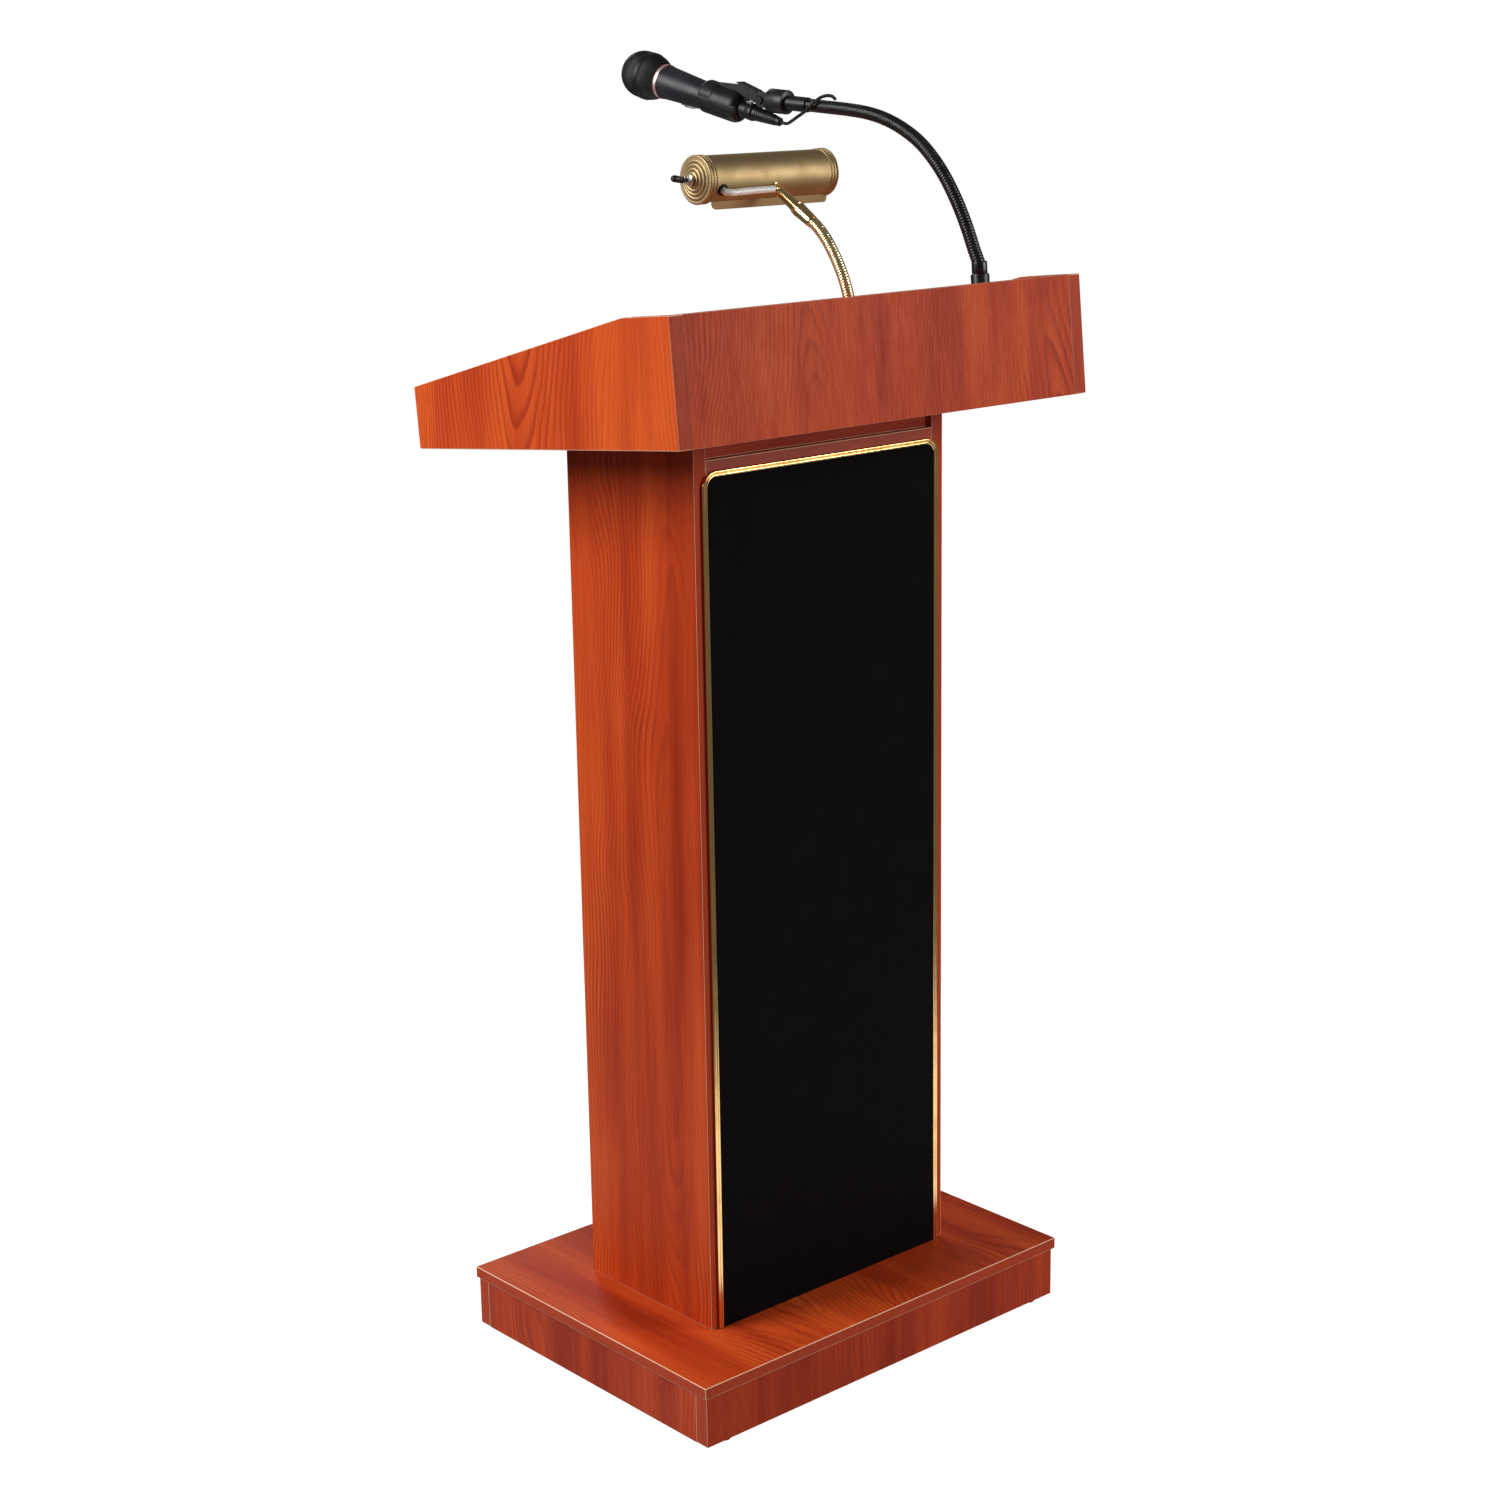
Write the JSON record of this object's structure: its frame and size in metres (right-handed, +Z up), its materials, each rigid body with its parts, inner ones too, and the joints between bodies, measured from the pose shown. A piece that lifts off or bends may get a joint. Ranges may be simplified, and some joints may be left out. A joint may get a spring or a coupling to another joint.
{
  "type": "sound lectern",
  "caption": "Floor-standing wooden lectern with a boxed column, fabric speaker grille, sloping reading desk, gooseneck lamp and gooseneck microphone.",
  "frame": {"origin": "middle of the bounds of the whole lectern, microphone included, on the floor", "axes": "+X to the right seen from the audience, +Y towards the speaker, +Z up"},
  "size_m": [0.5636, 0.5504, 1.4003],
  "materials": {
    "cherry_laminate": "satin cherry-coloured wood-grain laminate",
    "plain_edging": "plain reddish-brown edge and raw board faces",
    "grille_fabric": "fine black speaker cloth",
    "polished_brass": "polished, lacquered",
    "antique_gold": "satin antique-gold metallic",
    "black_plastic": "satin moulded",
    "black_steel": "black powder coat",
    "chrome": "bright",
    "clear_sleeve": "translucent white vinyl sleeve",
    "black_rubber": "soft matt",
    "frosted_glass": "frosted inside"
  },
  "bodies": {
    "cabinet": {"base_top_board": "cherry_laminate", "base_skirt_front": "cherry_laminate", "base_skirt_rear": "cherry_laminate", "base_skirt_left": "cherry_laminate", "base_skirt_right": "cherry_laminate", "foot_glide_1": "black_rubber", "foot_glide_2": "black_rubber", "foot_glide_3": "black_rubber", "foot_glide_4": "black_rubber", "column_side_left": "cherry_laminate", "column_side_right": "cherry_laminate", "column_top_board": "plain_edging", "column_front_rail": "cherry_laminate", "chamber_floor": "cherry_laminate", "amplifier_shelf": "cherry_laminate", "storage_shelf": "cherry_laminate", "speaker_rear_panel": "cherry_laminate", "grille_panel": "grille_fabric", "grille_trim": "polished_brass", "speaker_baffle": "plain_edging", "speaker_lower": "black_steel", "speaker_upper": "black_steel", "amplifier_chassis": "black_steel", "amplifier_faceplate": "black_steel", "desk_side_left": "cherry_laminate", "desk_side_right": "cherry_laminate", "desk_front_board": "cherry_laminate", "desk_back_board": "cherry_laminate", "desk_bottom_board": "cherry_laminate", "desk_ledge_board": "cherry_laminate", "reading_surface": "cherry_laminate", "lamp_base_ferrule": "polished_brass", "mic_base_flange": "black_steel"},
    "lamp_neck_foot": {"lamp_neck_1": "polished_brass"},
    "lamp_neck_middle": {"lamp_neck_2": "polished_brass"},
    "lamp_neck_tip": {"lamp_neck_3": "polished_brass", "lamp_neck_fitting": "polished_brass"},
    "lamp_knuckle": {"lamp_knuckle": "polished_brass", "lamp_wire": "clear_sleeve"},
    "lamp_head": {"lamp_shade": "antique_gold", "lamp_end_cap_left": "antique_gold", "lamp_end_cap_right": "antique_gold", "lamp_socket": "black_plastic", "lamp_bulb": "frosted_glass", "lamp_switch_body": "chrome"},
    "lamp_toggle": {"lamp_switch_lever": "black_plastic"},
    "mic_neck_foot": {"mic_neck_1": "black_steel"},
    "mic_neck_lower": {"mic_neck_2": "black_steel"},
    "mic_neck_upper": {"mic_neck_3": "black_steel"},
    "mic_neck_tip": {"mic_neck_4": "black_steel", "mic_clip_socket": "black_plastic", "mic_cord": "black_rubber"},
    "mic_clip": {"mic_clip": "black_plastic", "mic_plug": "black_plastic"},
    "microphone": {"mic_handle": "black_plastic", "mic_head": "black_steel"},
    "mic_slide_key": {"mic_switch": "black_plastic"},
    "mic_level_knob": {"mic_level_knob": "black_plastic"},
    "aux_level_knob": {"aux_level_knob": "black_plastic"},
    "power_rocker": {"amplifier_power_rocker": "black_plastic"}
  },
  "joints": [
    {"name": "lamp_neck_turn", "type": "hinge", "parent": "cabinet", "child": "lamp_neck_foot", "pos_m": [0, -0.21071, 1.14654], "axis": [0, 0.094, 0.9956], "range_deg": [-30, 30]},
    {"name": "lamp_neck_bend_lower", "type": "hinge", "parent": "lamp_neck_foot", "child": "lamp_neck_middle", "pos_m": [0, -0.20056, 1.1797], "axis": [1, 0, 0], "range_deg": [-14, 14]},
    {"name": "lamp_neck_bend_upper", "type": "hinge", "parent": "lamp_neck_middle", "child": "lamp_neck_tip", "pos_m": [0, -0.18202, 1.20919], "axis": [1, 0, 0], "range_deg": [-14, 14]},
    {"name": "lamp_shade_turn", "type": "hinge", "parent": "lamp_neck_tip", "child": "lamp_knuckle", "pos_m": [0, -0.10298, 1.26367], "axis": [0, 0.8615, 0.5077], "range_deg": [-25, 25]},
    {"name": "lamp_shade_tilt", "type": "hinge", "parent": "lamp_knuckle", "child": "lamp_head", "pos_m": [0, -0.10298, 1.26367], "axis": [1, 0, 0], "range_deg": [-35, 35], "deforming": ["lamp_wire"]},
    {"name": "lamp_switch_toggle", "type": "hinge", "parent": "lamp_head", "child": "lamp_toggle", "pos_m": [-0.1008, -0.07792, 1.27616], "axis": [0, 1, 0], "range_deg": [-20, 0]},
    {"name": "mic_neck_turn", "type": "hinge", "parent": "cabinet", "child": "mic_neck_foot", "pos_m": [0.17584, -0.22062, 1.17259], "axis": [0, 0.094, 0.9956], "range_deg": [-45, 45]},
    {"name": "mic_neck_bend_lower", "type": "hinge", "parent": "mic_neck_foot", "child": "mic_neck_lower", "pos_m": [0.17218, -0.19079, 1.24546], "axis": [0.9925, 0.1219, 0], "range_deg": [-6, 20]},
    {"name": "mic_neck_bend_middle", "type": "hinge", "parent": "mic_neck_lower", "child": "mic_neck_upper", "pos_m": [0.16603, -0.14069, 1.30592], "axis": [0.9925, 0.1219, 0], "range_deg": [-6, 20]},
    {"name": "mic_neck_bend_upper", "type": "hinge", "parent": "mic_neck_upper", "child": "mic_neck_tip", "pos_m": [0.15711, -0.0681, 1.33485], "axis": [0.9925, 0.1219, 0], "range_deg": [-6, 20]},
    {"name": "mic_clip_tilt", "type": "hinge", "parent": "mic_neck_tip", "child": "mic_clip", "pos_m": [0.14017, 0.06988, 1.3469], "axis": [0.9925, 0.1219, 0], "range_deg": [0, 35], "deforming": ["mic_cord"]},
    {"name": "mic_slide_out", "type": "slide", "parent": "mic_clip", "child": "microphone", "axis": [-0.118, 0.9626, 0.2439], "range_m": [0, 0.12]},
    {"name": "mic_switch_slide", "type": "slide", "parent": "microphone", "child": "mic_slide_key", "axis": [-0.12, 0.9742, 0.191], "range_m": [0, 0.004]},
    {"name": "mic_level_turn", "type": "hinge", "parent": "cabinet", "child": "mic_level_knob", "pos_m": [-0.02, 0.02108, 0.94], "axis": [0, 1, 0], "range_deg": [-300, 0]},
    {"name": "aux_level_turn", "type": "hinge", "parent": "cabinet", "child": "aux_level_knob", "pos_m": [0.04, 0.02108, 0.94], "axis": [0, 1, 0], "range_deg": [-300, 0]},
    {"name": "power_rocker_tip", "type": "hinge", "parent": "cabinet", "child": "power_rocker", "pos_m": [0.115, 0.02078, 0.94], "axis": [1, 0, 0], "range_deg": [0, 12]}
  ],
  "couplings": [
    {"joint": "lamp_neck_bend_upper", "follows": "lamp_neck_bend_lower", "ratio": 1},
    {"joint": "mic_neck_bend_middle", "follows": "mic_neck_bend_lower", "ratio": 1},
    {"joint": "mic_neck_bend_upper", "follows": "mic_neck_bend_lower", "ratio": 1}
  ]
}
